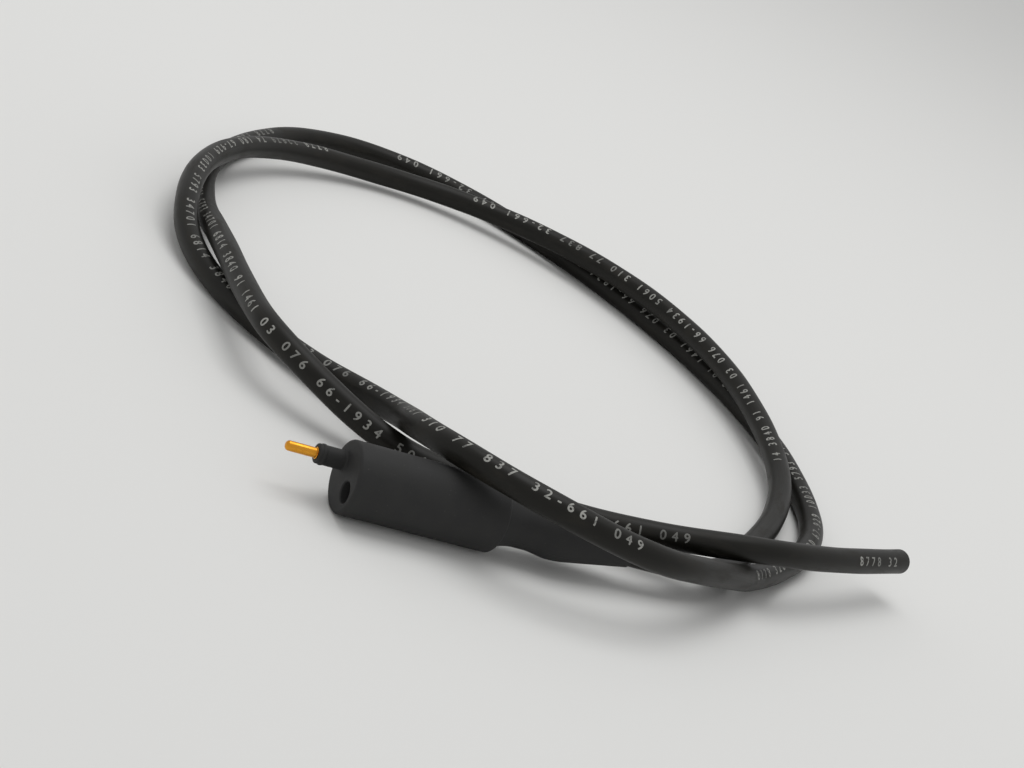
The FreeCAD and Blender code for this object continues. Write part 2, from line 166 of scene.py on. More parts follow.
# %% [markdown]
# A printed cord always carries its marks on one side of the jacket, but a cord that lies in
# loose turns also rolls a little about its own line, so the row of marks wanders from its
# top to its side. A short list says which way the marks face at a few places: 0 degrees is
# the left side of the cord as one follows it, 90 degrees is its top. The angles are eased
# from one place to the next and kept on the line's points as an attribute.

# %% Which way the cord's marks face
FACING = [
    (0, 130), (60, 96), (110, 62), (150, 42), (200, 38), (250, 58), (320, 84), (375, 72),
    (405, 70), (450, 108), (500, 115), (570, 118), (607, 134), (650, 132), (700, 100), (750, 66),
    (800, 50), (880, 46), (950, 62), (1000, 84), (1040, 112), (1075, 140), (1125, 142),
    (1165, 152), (1200, 156), (1250, 147), (1290, 142), (1360, 147),
]


def facing_at(length_mm):
    """The angle of the marks, in radians, at a length along the cord."""
    for (start, first), (end, last) in zip(FACING, FACING[1:]):
        if length_mm <= end:
            share = (length_mm - start) / (end - start)
            eased = share * share * (3 - 2 * share)
            return math.radians(first + (last - first) * eased)
    return math.radians(FACING[-1][1])


facing = rail_mesh.attributes.new("facing", "FLOAT", "POINT")
for vertex, length in zip(rail_mesh.vertices, lengths):
    facing.data[vertex.index].value = facing_at(length / MM)
cord_rail = bpy.data.objects.new("cord_rail", rail_mesh)
bpy.context.scene.collection.objects.link(cord_rail)
print("points on the line:", len(cord_path))

# %% [markdown]
# Several pieces follow that line, so each is a Geometry Nodes tree with named inputs. Helpers
# start a tree, end it and run it: the last sets the inputs by identifier, lets Blender
# evaluate the tree and keeps the result as a plain mesh, with no modifier left behind. Each
# piece that is finished then hides the imported node it stands for.

# %% Geometry Nodes helpers
SOCKET_KINDS = {int: "NodeSocketInt", float: "NodeSocketFloat", str: "NodeSocketString"}


def start_tree(name, sizes):
    """A geometry tree with one named input per size. Returns the tree and the inputs' sockets."""
    tree = bpy.data.node_groups.new(name, "GeometryNodeTree")
    tree.interface.new_socket("Geometry", in_out="INPUT", socket_type="NodeSocketGeometry")
    for label, value in sizes.items():
        kind = SOCKET_KINDS.get(type(value), "NodeSocketObject")
        tree.interface.new_socket(label, in_out="INPUT", socket_type=kind)
    tree.interface.new_socket("Geometry", in_out="OUTPUT", socket_type="NodeSocketGeometry")
    return tree, add_node(tree, "NodeGroupInput").outputs


def end_tree(tree, geometry, material):
    """Realizes instances, sets the material and links the result to the tree's output."""
    real = add_node(tree, "GeometryNodeRealizeInstances", {"Geometry": geometry})
    painted = add_node(tree, "GeometryNodeSetMaterial", {"Geometry": real, "Material": material})
    add_node(tree, "NodeGroupOutput", {"Geometry": painted})


def add_piece(name, mesh):
    """Puts a mesh in the scene as an object at the origin."""
    mesh.name = name
    piece = bpy.data.objects.new(name, mesh)
    bpy.context.scene.collection.objects.link(piece)
    return piece


def stand_for(piece, node):
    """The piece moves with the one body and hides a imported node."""
    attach(piece, "root")
    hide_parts(node)


def run_tree(name, tree, sizes, start_mesh=None):
    """Runs a tree on a mesh and returns an object whose mesh is the plain result."""
    source = start_mesh or bpy.data.meshes.new(name)
    carrier = add_piece(name + "_source", source)
    modifier = carrier.modifiers.new(name, "NODES")
    modifier.node_group = tree
    for item in tree.interface.items_tree:
        if item.in_out == "INPUT" and item.name in sizes:
            modifier[item.identifier] = sizes[item.name]
    bpy.context.view_layer.update()
    mesh = bpy.data.meshes.new_from_object(carrier.evaluated_get(bpy.context.evaluated_depsgraph_get()))
    bpy.data.objects.remove(carrier)
    print(name, "faces:", len(mesh.polygons))
    return add_piece(name, mesh)


# %% [markdown]
# Whatever sits on the cord is made straight first, along X, and then laid on the line. The
# distance along X becomes length along the cord, Y points to the cord's left and Z to its
# top. One function adds the nodes that do this, so the jacket, the marks and the pieces in
# the cut end all bend in exactly the same way.

# %% Laying a straight piece on the cord
def rail_curve(tree, size):
    """The cord's line as a curve inside a tree."""
    info = add_node(tree, "GeometryNodeObjectInfo", {"Object": size["Rail"]})
    return add_node(tree, "GeometryNodeMeshToCurve", {"Mesh": info.outputs["Geometry"]})


def lay_on_cord(tree, geometry, rail, start):
    """Bends straight geometry along the rail, with its own X = 0 at a length along the cord."""
    place = add_node(tree, "ShaderNodeSeparateXYZ", {0: add_node(tree, "GeometryNodeInputPosition")})
    length = add_node(tree, "ShaderNodeMath", {0: place.outputs["X"], 1: start}, operation="ADD")
    spot = add_node(tree, "GeometryNodeSampleCurve", {"Curves": rail, "Length": length}, mode="LENGTH")
    forward = spot.outputs["Tangent"]
    sideways = add_node(tree, "ShaderNodeVectorMath", {0: (0, 0, 1), 1: forward}, operation="CROSS_PRODUCT")
    left = add_node(tree, "ShaderNodeVectorMath", {0: sideways}, operation="NORMALIZE")
    upward = add_node(tree, "ShaderNodeVectorMath", {0: forward, 1: left}, operation="CROSS_PRODUCT")
    whole = add_node(tree, "GeometryNodeCurveLength", {"Curve": rail})
    past = add_node(tree, "ShaderNodeMath", {0: length, 1: whole}, operation="SUBTRACT")
    proud = add_node(tree, "ShaderNodeMath", {0: past, 1: 0.0}, operation="MAXIMUM")
    moved = spot.outputs["Position"]
    for direction, amount in ((forward, proud), (left, place.outputs["Y"]), (upward, place.outputs["Z"])):
        moved = add_node(tree, "ShaderNodeVectorMath", {
            0: direction, 1: amount, 2: moved}, operation="MULTIPLY_ADD")
    return add_node(tree, "GeometryNodeSetPosition", {"Geometry": geometry, "Position": moved})


# %% [markdown]
# Materials start from what each surface really is. The connector is moulded chloroprene
# rubber: nearly black, matte, with the fine grain of a blasted mould and faint flow marks.
# All its patterns read Object coordinates, which are metres here, so a scale is written as
# cells to a millimetre: blotches 4 mm wide, specks of dust of half a millimetre and flow
# marks 7 mm apart. The grain of a blasted mould is a few hundredths of a millimetre, too
# fine to show from half a metre away, so it is drawn at a third of a millimetre.

# %% Moulded chloroprene rubber
def new_material(name, base, roughness, **sockets):
    """A material with one Principled BSDF. Returns the material, its tree and the shader."""
    material = bpy.data.materials.new(name)
    material.use_nodes = True
    tree = material.node_tree
    shader = tree.nodes["Principled BSDF"]
    shader.inputs["Base Color"].default_value = linear(base)
    shader.inputs["Roughness"].default_value = roughness
    for label, value in sockets.items():
        shader.inputs[label].default_value = value
    return material, tree, shader


def set_finish(tree, shader, tone, dull, height, strength, depth_mm):
    """Links a finish's colour, roughness and relief to its shader."""
    bump = add_node(tree, "ShaderNodeBump", {
        "Height": height, "Strength": strength, "Distance": depth_mm * MM})
    tree.links.new(tone.outputs[2], shader.inputs["Base Color"])
    tree.links.new(dull.outputs[0], shader.inputs["Roughness"])
    tree.links.new(bump.outputs[0], shader.inputs["Normal"])


DULL_RUBBER = {"IOR": 1.5, "Specular IOR Level": 0.22}


def moulded_rubber(name, base, bloom):
    """Matte rubber out of a blasted mould: fine grain, soft blotches of bloom and a few specks of dust."""
    material, tree, shader = new_material(name, base, 0.62, **DULL_RUBBER)
    place = add_node(tree, "ShaderNodeTexCoord").outputs["Object"]
    blotches = add_node(tree, "ShaderNodeTexNoise", {"Vector": place, "Scale": 0.26 / MM, "Detail": 3.0})
    amount = add_node(tree, "ShaderNodeMapRange", {
        "Value": blotches, "From Min": 0.35, "From Max": 0.75, "To Max": 0.7})
    tone = add_node(tree, "ShaderNodeMix", {0: amount, 6: linear(base), 7: linear(bloom)}, data_type="RGBA")
    dust = add_node(tree, "ShaderNodeTexNoise", {"Vector": place, "Scale": 1.9 / MM, "Detail": 2.0})
    specks = add_node(tree, "ShaderNodeMapRange", {
        "Value": dust, "From Min": 0.7, "From Max": 0.78, "To Max": 0.3})
    dusty = add_node(tree, "ShaderNodeMix", {
        0: specks, 6: tone.outputs[2], 7: linear("#5c5b58")}, data_type="RGBA")
    dull = add_node(tree, "ShaderNodeMapRange", {
        "Value": blotches, "From Min": 0.25, "From Max": 0.75, "To Min": 0.55, "To Max": 0.7})
    grain = add_node(tree, "ShaderNodeTexNoise", {
        "Vector": place, "Scale": 3.2 / MM, "Detail": 3.0, "Roughness": 0.6})
    flow = add_node(tree, "ShaderNodeTexNoise", {"Vector": place, "Scale": 0.14 / MM, "Detail": 1.0})
    height = add_node(tree, "ShaderNodeMath", {0: flow, 1: 5.0, 2: grain}, operation="MULTIPLY_ADD")
    set_finish(tree, shader, dusty, dull, height, 0.35, 0.02)
    return material


neoprene = moulded_rubber("moulded chloroprene rubber", "#2a2a2a", "#323231")
print("material:", neoprene.name)

# %% [markdown]
# The cord's jacket is extruded thermoset rubber. Extrusion leaves very fine lines along the
# cord, and handling leaves dull scuffs. Both have to follow the cord and not the room, so
# the material reads an attribute that the skin carries: the place of each point on the
# cord as if it still lay straight, in metres. The drawn lines lie 0.2 mm apart and are
# fifty times as long, the scuffs are 3 mm wide and three times as long, and the jacket's
# slight waves are a centimetre from crest to crest.

# %% Extruded thermoset rubber
STRAIGHT = "straightened"


def extruded_rubber(name, base, scuffed):
    """Slightly glossy rubber with fine lines along the cord, gentle unevenness and dull scuffs."""
    material, tree, shader = new_material(name, base, 0.45, **DULL_RUBBER)
    place = add_node(tree, "ShaderNodeAttribute", attribute_name=STRAIGHT).outputs["Vector"]
    drawn = add_node(tree, "ShaderNodeVectorMath", {0: place, 1: (0.02, 1.0, 1.0)}, operation="MULTIPLY")
    lines = add_node(tree, "ShaderNodeTexNoise", {"Vector": drawn, "Scale": 5.2 / MM, "Detail": 2.0})
    stroked = add_node(tree, "ShaderNodeVectorMath", {0: place, 1: (0.3, 1.0, 1.0)}, operation="MULTIPLY")
    scuffs = add_node(tree, "ShaderNodeTexNoise", {
        "Vector": stroked, "Scale": 0.32 / MM, "Detail": 4.0, "Roughness": 0.62})
    worn = add_node(tree, "ShaderNodeMapRange", {"Value": scuffs, "From Min": 0.5, "From Max": 0.72})
    tone = add_node(tree, "ShaderNodeMix", {0: worn, 6: linear(base), 7: linear(scuffed)}, data_type="RGBA")
    dull = add_node(tree, "ShaderNodeMapRange", {"Value": worn, "To Min": 0.36, "To Max": 0.52})
    sheen = add_node(tree, "ShaderNodeMath", {0: lines, 1: 0.12, 2: dull}, operation="MULTIPLY_ADD")
    waves = add_node(tree, "ShaderNodeTexNoise", {"Vector": place, "Scale": 0.09 / MM, "Detail": 2.0})
    height = add_node(tree, "ShaderNodeMath", {0: waves, 1: 3.0, 2: lines}, operation="MULTIPLY_ADD")
    set_finish(tree, shader, tone, sheen, height, 0.3, 0.02)
    return material


cord_rubber = extruded_rubber("extruded thermoset jacket", "#161511", "#23211c")
print("material:", cord_rubber.name)

# %% [markdown]
# The skin of the cord is a tube with enough rings to bend smoothly. The two twisted
# conductors inside press a very slight double spiral into the jacket, so the radius falls by
# a few hundredths of a millimetre between them. The cut end comes from the tube's own cap:
# the cap is drawn in to the bore's size and pushed back into the cord, which leaves the
# wall of the jacket showing round the core.

# %% Cord jacket
JACKET_BORE_R = 2.32
CORE_DEPTH = 14.0
RING_PITCH = 1.3
# Of all the tube's faces only the cap has its middle this near to the cut.
CAP_REACH = 0.2
JACKET_SIZES = {
    "Rail": cord_rail,
    "Radius": CORD_R * MM,
    "Rings": round(cord_length / (RING_PITCH * MM)),
    "Sides": 40,
    "Lay": 48.0 * MM,
    "Ripple": 0.03 * MM,
    "Bore share": JACKET_BORE_R / CORD_R,
    "Bore depth": CORE_DEPTH * MM,
}


def spiral_dip(tree, angle, along, size):
    """How far the jacket dips at an angle and a length, from zero to twice the ripple."""
    turns = add_node(tree, "ShaderNodeMath", {0: along, 1: size["Lay"]}, operation="DIVIDE")
    turned = add_node(tree, "ShaderNodeMath", {0: turns, 1: -math.tau, 2: angle}, operation="MULTIPLY_ADD")
    twice = add_node(tree, "ShaderNodeMath", {0: turned, 1: 2.0}, operation="MULTIPLY")
    wave = add_node(tree, "ShaderNodeMath", {0: twice}, operation="COSINE")
    drop = add_node(tree, "ShaderNodeMath", {0: wave, 1: 1.0}, operation="SUBTRACT")
    return add_node(tree, "ShaderNodeMath", {0: drop, 1: size["Ripple"]}, operation="MULTIPLY")


def jacket_tree():
    """A straight tube with its spiral and its bore, laid on the cord."""
    tree, size = start_tree("cord jacket", JACKET_SIZES)
    rail = rail_curve(tree, size)
    whole = add_node(tree, "GeometryNodeCurveLength", {"Curve": rail})
    half = add_node(tree, "ShaderNodeMath", {0: whole, 1: 2.0}, operation="DIVIDE")
    tube = add_node(tree, "GeometryNodeMeshCylinder", {
        "Vertices": size["Sides"], "Side Segments": size["Rings"], "Radius": size["Radius"], "Depth": whole},
        fill_type="NGON")
    middle = add_node(tree, "ShaderNodeCombineXYZ", {"X": half})
    straight = add_node(tree, "GeometryNodeTransform", {
        "Geometry": tube, "Translation": middle, "Rotation": (0, math.pi / 2, 0)})
    position = add_node(tree, "GeometryNodeInputPosition")
    place = add_node(tree, "ShaderNodeSeparateXYZ", {0: position})
    angle = add_node(tree, "ShaderNodeMath", {
        0: place.outputs["Z"], 1: place.outputs["Y"]}, operation="ARCTAN2")
    dip = spiral_dip(tree, angle, place.outputs["X"], size)
    grown = add_node(tree, "ShaderNodeMath", {0: dip, 1: size["Radius"]}, operation="DIVIDE")
    across = add_node(tree, "ShaderNodeVectorMath", {0: position, 1: (0, 1, 1)}, operation="MULTIPLY")
    shift = add_node(tree, "ShaderNodeVectorMath", {0: across, 1: grown}, operation="MULTIPLY")
    rippled = add_node(tree, "GeometryNodeSetPosition", {"Geometry": straight, "Offset": shift})
    edge = add_node(tree, "ShaderNodeMath", {0: whole, 1: CAP_REACH * MM}, operation="SUBTRACT")
    at_cut = add_node(tree, "ShaderNodeMath", {0: place.outputs["X"], 1: edge}, operation="GREATER_THAN")
    cap = add_node(tree, "GeometryNodeExtrudeMesh", {
        "Mesh": rippled, "Selection": at_cut, "Offset Scale": 0.0}, mode="FACES")
    drawn = add_node(tree, "GeometryNodeScaleElements", {
        "Geometry": cap, "Selection": cap.outputs["Top"], "Scale": size["Bore share"]}, domain="FACE")
    inward = add_node(tree, "ShaderNodeMath", {0: size["Bore depth"], 1: -1.0}, operation="MULTIPLY")
    bored = add_node(tree, "GeometryNodeExtrudeMesh", {
        "Mesh": drawn, "Selection": cap.outputs["Top"], "Offset Scale": inward}, mode="FACES")
    marked = add_node(tree, "GeometryNodeStoreNamedAttribute", {
        "Geometry": bored, "Name": STRAIGHT, "Value": position}, data_type="FLOAT_VECTOR", domain="POINT")
    end_tree(tree, lay_on_cord(tree, marked, rail, 0.0), cord_rubber)
    return tree


def shade(piece, sharp_degrees=35.0):
    """Smooth shading that keeps edges sharper than an angle."""
    piece.data.shade_smooth()
    piece.data.set_sharp_from_angle(angle=math.radians(sharp_degrees))


jacket = run_tree("cord_skin", jacket_tree(), JACKET_SIZES)
shade(jacket)
stand_for(jacket, "cord_jacket")

# %% [markdown]
# The connector's pieces are bodies of revolution, as from a lathe: an outline in x and
# radius is turned about a line along X. Corners are given with their rounding, and an arc
# takes the place of each. A two-part mould leaves a parting line, a raised seam as fine as a
# hair, so two of the angles round the axis carry three close points to hold it.

# %% Lathe helpers
ARC_STEPS = 7
SEAM_DEGREES = (25.0, 205.0)
SEAM_HALF_WIDTH = 0.9
SEAM_HEIGHT = 0.035


def rounded(corners):
    """Points along an outline of (x, radius, rounding) corners, with an arc at each rounded one."""
    points = []
    for i, (x, radius, rounding) in enumerate(corners):
        here = Vector((x, radius))
        if not rounding:
            points.append(here)
            continue
        back = (Vector(corners[i - 1][:2]) - here).normalized()
        onward = (Vector(corners[(i + 1) % len(corners)][:2]) - here).normalized()
        half = back.angle(onward) / 2
        centre = here + (back + onward).normalized() * (rounding / math.sin(half))
        reach = rounding / math.tan(half)
        first = here + back * reach - centre
        last = here + onward * reach - centre
        points += [centre + rounding * first.slerp(last, k / ARC_STEPS) for k in range(ARC_STEPS + 1)]
    return points


def round_angles(sides, seams=()):
    """Even angles in degrees, with each seam's three close points in their place."""
    angles = [360.0 * k / sides for k in range(sides)]
    for seam in seams:
        angles = [a for a in angles if abs(a - seam) > 1.5 * SEAM_HALF_WIDTH]
        angles += [seam - SEAM_HALF_WIDTH, seam, seam + SEAM_HALF_WIDTH]
    return sorted(angles)


def turn(bm, outline, angles, yz=(0.0, AXIS_Z), loop=False, seam_span=None):
    """Turns an outline in mm into rings of faces. Between two x values the seams stand proud."""
    rings = []
    for x, radius in outline:
        if radius < 1e-6:
            rings.append([bm.verts.new(Vector((x, *yz)) * MM)])
            continue
        ring = []
        for degrees in angles:
            raised = seam_span and degrees in SEAM_DEGREES and seam_span[0] <= x <= seam_span[1]
            reach = radius + (SEAM_HEIGHT if raised else 0.0)
            angle = math.radians(degrees)
            spot = Vector((x, yz[0] + reach * math.cos(angle), yz[1] + reach * math.sin(angle)))
            ring.append(bm.verts.new(spot * MM))
        rings.append(ring)
    pairs = list(zip(rings, rings[1:])) + ([(rings[-1], rings[0])] if loop else [])
    for first, second in pairs:
        count = max(len(first), len(second))
        for k in range(count):
            corners = [first[k % len(first)], first[(k + 1) % len(first)],
                       second[(k + 1) % len(second)], second[k % len(second)]]
            bm.faces.new(list(dict.fromkeys(corners)))
    return rings


def finished_piece(bm, name, material, sharp_degrees=35.0):
    """Turns a closed bmesh into a shaded object with its faces outwards."""
    bmesh.ops.recalc_face_normals(bm, faces=bm.faces)
    mesh = bpy.data.meshes.new(name)
    bm.to_mesh(mesh)
    bm.free()
    mesh.materials.append(material)
    piece = add_piece(name, mesh)
    shade(piece, sharp_degrees)
    print(name, "faces:", len(mesh.polygons))
    return piece


# %% [markdown]
# The body is one rubber moulding, 16 mm across. Its flat mating face has a rounded rim,
# and the pin's sleeve and the socket's bore lie on one leaning line across it. The face is
# filled between the rim's inner ring and the rings of the two holes, so that it stays flat.
# At the back a shallow pocket takes the root of the tail.

# %% Connector body
BODY_R = 8.0
FACE_X = -26.2
SHOULDER_X = 10.0
RIM_ROUND = 0.8
SHOULDER_ROUND = 1.0
CONTACT_PITCH_R = 4.05
CONTACT_LEAN = math.radians(25.0)
SOCKET_BORE_R = 2.35
SOCKET_FLOOR_X = -18.0
SOCKET_HOLE_R = 1.5
CONTACT_POCKET_X = -17.6
CONTACT_POCKET_END_X = -12.2
CONTACT_POCKET_R = 2.02
SLEEVE_R = 2.15
SLEEVE_FOOT_R = 2.9
SLEEVE_FOOT_X = -21.5
SLEEVE_ROOT_X = -20.0
TAIL_ROOT_R = 5.0
TAIL_ROOT_X = 6.5
FIT_GAP = 0.02
BODY_OUTLINE = rounded([
    (FACE_X, BODY_R - RIM_ROUND - 0.2, 0), (FACE_X, BODY_R, RIM_ROUND),
    (SHOULDER_X, BODY_R, SHOULDER_ROUND), (SHOULDER_X, TAIL_ROOT_R, 0),
    (TAIL_ROOT_X, TAIL_ROOT_R, 0), (TAIL_ROOT_X, 0, 0)])
SOCKET_OUTLINE = rounded([
    (FACE_X, SOCKET_BORE_R + 0.5, 0), (FACE_X, SOCKET_BORE_R, 0.35),
    (SOCKET_FLOOR_X, SOCKET_BORE_R, 0.3), (SOCKET_FLOOR_X, SOCKET_HOLE_R, 0.1),
    (CONTACT_POCKET_X, SOCKET_HOLE_R, 0), (CONTACT_POCKET_X, CONTACT_POCKET_R, 0),
    (CONTACT_POCKET_END_X, CONTACT_POCKET_R, 0), (CONTACT_POCKET_END_X, 0, 0)])
SLEEVE_HOLE_OUTLINE = rounded([
    (FACE_X, SLEEVE_R + 0.3, 0), (FACE_X, SLEEVE_R + FIT_GAP, 0.2),
    (SLEEVE_FOOT_X, SLEEVE_R + FIT_GAP, 0), (SLEEVE_FOOT_X, SLEEVE_FOOT_R + FIT_GAP, 0),
    (SLEEVE_ROOT_X, SLEEVE_FOOT_R + FIT_GAP, 0), (SLEEVE_ROOT_X, 0, 0)])


def contact_yz(side):
    """Y and z in mm of the pin's line for side 1 and of the socket's for side -1."""
    offset = side * CONTACT_PITCH_R
    return (offset * math.cos(CONTACT_LEAN), AXIS_Z + offset * math.sin(CONTACT_LEAN))


def ring_edges(ring):
    """The edges round one ring of vertices."""
    pairs = zip(ring, ring[1:] + ring[:1])
    return [edge for a, b in pairs for edge in a.link_edges if b in edge.verts]


bm = bmesh.new()
body_seam = (FACE_X + RIM_ROUND, SHOULDER_X - SHOULDER_ROUND)
shell = turn(bm, BODY_OUTLINE, round_angles(112, SEAM_DEGREES), seam_span=body_seam)
socket_rings = turn(bm, SOCKET_OUTLINE, round_angles(56), contact_yz(-1))
sleeve_rings = turn(bm, SLEEVE_HOLE_OUTLINE, round_angles(56), contact_yz(1))
face_edges = ring_edges(shell[0]) + ring_edges(socket_rings[0]) + ring_edges(sleeve_rings[0])
bmesh.ops.triangle_fill(bm, use_beauty=True, edges=face_edges, normal=(-1, 0, 0))
body = finished_piece(bm, "connector_moulding", neoprene)
stand_for(body, "connector_body")

# %% [markdown]
# Behind the shoulder the rubber narrows to a tail that shares out the cord's bending. It
# flares out of the shoulder, runs straight as a neck, swells to a faint collar and then
# tapers to a thin lip round the cord. Its outline starts on the axis, runs along the
# outside and round the lip, and comes back along the bore that the jacket fills.

# %% Tail
FLARE_R = 6.8
FLARE_END_X = 16.0
NECK_R = 5.4
NECK_END_X = 18.5
COLLAR_R = 6.1
COLLAR_X = 24.5
CROWN_LENGTH = 4.0
TAIL_END_X = 44.0
TAIL_END_R = 3.4
TAIL_BORE_R = CORD_R + FIT_GAP
JACKET_END_X = 14.0
PROFILE_STEPS = 12
FLARE_LENGTH = FLARE_END_X - SHOULDER_X
FLARE_ROUND = (FLARE_LENGTH ** 2 + (FLARE_R - NECK_R) ** 2) / (2 * (FLARE_R - NECK_R))
TAPER = (COLLAR_R - TAIL_END_R) / (TAIL_END_X - COLLAR_X)


def steps(first_x, last_x, radius_at):
    """Unrounded outline corners at even steps, with their radius from a rule."""
    places = [first_x + (last_x - first_x) * k / PROFILE_STEPS for k in range(PROFILE_STEPS + 1)]
    return [(x, radius_at(x), 0) for x in places]


def swell(x):
    """The neck's radius as it eases up to the collar's."""
    share = (x - NECK_END_X) / (COLLAR_X - NECK_END_X)
    return NECK_R + (COLLAR_R - NECK_R) * share * share * (3 - 2 * share)


flare = steps(SHOULDER_X + 0.03, FLARE_END_X, lambda x: (
    NECK_R + FLARE_ROUND - math.sqrt(FLARE_ROUND ** 2 - (FLARE_END_X - x) ** 2)))
crown = steps(COLLAR_X + 0.5, COLLAR_X + CROWN_LENGTH, lambda x: (
    COLLAR_R - TAPER * (x - COLLAR_X) ** 2 / (2 * CROWN_LENGTH)))
tail_outline = rounded([
    (TAIL_ROOT_X + FIT_GAP, TAIL_ROOT_R - FIT_GAP, 0), (SHOULDER_X + 0.01, TAIL_ROOT_R - FIT_GAP, 0),
    *flare, *steps(NECK_END_X, COLLAR_X, swell), *crown,
    (TAIL_END_X, TAIL_END_R, 0.12), (TAIL_END_X, TAIL_BORE_R, 0.05), (JACKET_END_X, TAIL_BORE_R, 0),
    (JACKET_END_X, 0, 0)])
bm = bmesh.new()
turn(bm, [(TAIL_ROOT_X + FIT_GAP, 0.0)] + [tuple(p) for p in tail_outline], round_angles(96, SEAM_DEGREES),
     seam_span=(SHOULDER_X + 1.0, TAIL_END_X - 1.0))
tail = finished_piece(bm, "tail_moulding", neoprene)
stand_for(tail, "strain_relief")

# %% [markdown]
# The pin stands in a rubber sleeve that seals in the mate's bore. The sleeve is of the same
# compound, a little darker because it is wiped clean each time it mates, with a small
# sealing bead near its mouth.

# %% Pin sleeve
sleeve_rubber = moulded_rubber("wiped chloroprene rubber", "#282828", "#2f2f2e")
SLEEVE_MOUTH_X = -32.5
SLEEVE_BEAD_X = -31.2
SLEEVE_BORE_R = 1.32
SHANK_R = 1.5
BEAD_RISE = 0.15
BEAD_HALF_LENGTH = 0.45
BEAD = [(SLEEVE_BEAD_X + BEAD_HALF_LENGTH * math.cos(t), SLEEVE_R + BEAD_RISE * math.sin(t), 0)
        for t in (math.pi * k / 10 for k in range(11))]
FILLET_STEPS = ((0.0, 0.3), (0.1, 0.14), (0.26, 0.03), (0.5, 0.0))
FILLET = [(FACE_X - out, SLEEVE_R + rise, 0) for out, rise in FILLET_STEPS]
FOOT_BACK_X = SLEEVE_ROOT_X - FIT_GAP
FOOT_FRONT_X = SLEEVE_FOOT_X + FIT_GAP
sleeve_outline = rounded([
    (FOOT_BACK_X, SHANK_R + FIT_GAP, 0), (FOOT_BACK_X, SLEEVE_FOOT_R, 0),
    (FOOT_FRONT_X, SLEEVE_FOOT_R, 0), (FOOT_FRONT_X, SLEEVE_R, 0), (FACE_X + 0.1, SLEEVE_R, 0),
    *FILLET, *BEAD, (SLEEVE_MOUTH_X, SLEEVE_R, 0.35), (SLEEVE_MOUTH_X, SLEEVE_BORE_R, 0.15),
    (SLEEVE_ROOT_X - 0.5, SLEEVE_BORE_R, 0)])
bm = bmesh.new()
turn(bm, [tuple(p) for p in sleeve_outline], round_angles(64), contact_yz(1), loop=True)
sleeve = finished_piece(bm, "pin_sleeve_moulding", sleeve_rubber)
stand_for(sleeve, "pin_sleeve")

# %% [markdown]
# The contacts are turned brass with a hard gold plate over nickel. Gold is a metal, so its
# base colour is the colour of its reflections, and the lathe's feed leaves rings round the
# pin that are a few hundredths of a millimetre apart. They are drawn 0.08 mm apart, which
# is as fine as still shows, and duller patches are a millimetre and a half wide.

# %% Gold plate and the pin
def gold_plate():
    """Polished gold with fine turning rings along X and slightly duller patches."""
    material, tree, shader = new_material("gold plate on turned brass", "#e3a23c", 0.28, Metallic=1.0)
    place = add_node(tree, "ShaderNodeTexCoord").outputs["Object"]
    squeezed = add_node(tree, "ShaderNodeVectorMath", {0: place, 1: (1.0, 0.01, 0.01)}, operation="MULTIPLY")
    rings = add_node(tree, "ShaderNodeTexNoise", {"Vector": squeezed, "Scale": 12 / MM, "Detail": 2.0})
    patches = add_node(tree, "ShaderNodeTexNoise", {"Vector": place, "Scale": 0.7 / MM, "Detail": 3.0})
    dull = add_node(tree, "ShaderNodeMapRange", {
        "Value": patches, "From Min": 0.35, "From Max": 0.7, "To Min": 0.22, "To Max": 0.38})
    tone = add_node(tree, "ShaderNodeMix", {
        0: patches, 6: linear("#e8a63c"), 7: linear("#d8922f")}, data_type="RGBA")
    set_finish(tree, shader, tone, dull, rings, 0.25, 0.01)
    return material


gold = gold_plate()
PIN_TIP_X = -39.5
PIN_R = 1.1
PIN_ROOT_X = -32.6
PIN_ROOT_R = 1.3
FLANGE_X = -10.5
FLANGE_END_X = -8.5
FLANGE_R = 2.1
CUP_R = 1.35
CUP_END_X = -1.5
CUP_BORE_R = 0.8
CUP_FLOOR_X = -6.0
pin_outline = [(PIN_TIP_X, 0.0)] + [tuple(p) for p in rounded([
    (PIN_TIP_X, 0.1, 0), (PIN_TIP_X, PIN_R, 0.85), (PIN_ROOT_X - 0.1, PIN_R, 0),
    (PIN_ROOT_X, PIN_ROOT_R, 0), (SLEEVE_ROOT_X, PIN_ROOT_R, 0), (SLEEVE_ROOT_X, SHANK_R, 0),
    (FLANGE_X, SHANK_R, 0), (FLANGE_X, FLANGE_R, 0.1), (FLANGE_END_X, FLANGE_R, 0.1),
    (FLANGE_END_X, CUP_R, 0), (CUP_END_X, CUP_R, 0.1), (CUP_END_X, CUP_BORE_R, 0.05),
    (CUP_FLOOR_X, CUP_BORE_R, 0), (CUP_FLOOR_X, 0, 0)])]
bm = bmesh.new()
turn(bm, pin_outline, round_angles(56), contact_yz(1))
pin = finished_piece(bm, "pin_turning", gold)
stand_for(pin, "pin_contact")

# %% [markdown]
# The socket at the bottom of the bore is a slotted sleeve that grips the mate's pin, with a
# steel spring ring round its fingers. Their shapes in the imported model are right, but its
# mesh is loose flat triangles, so a copy is welded together and shaded smoothly.

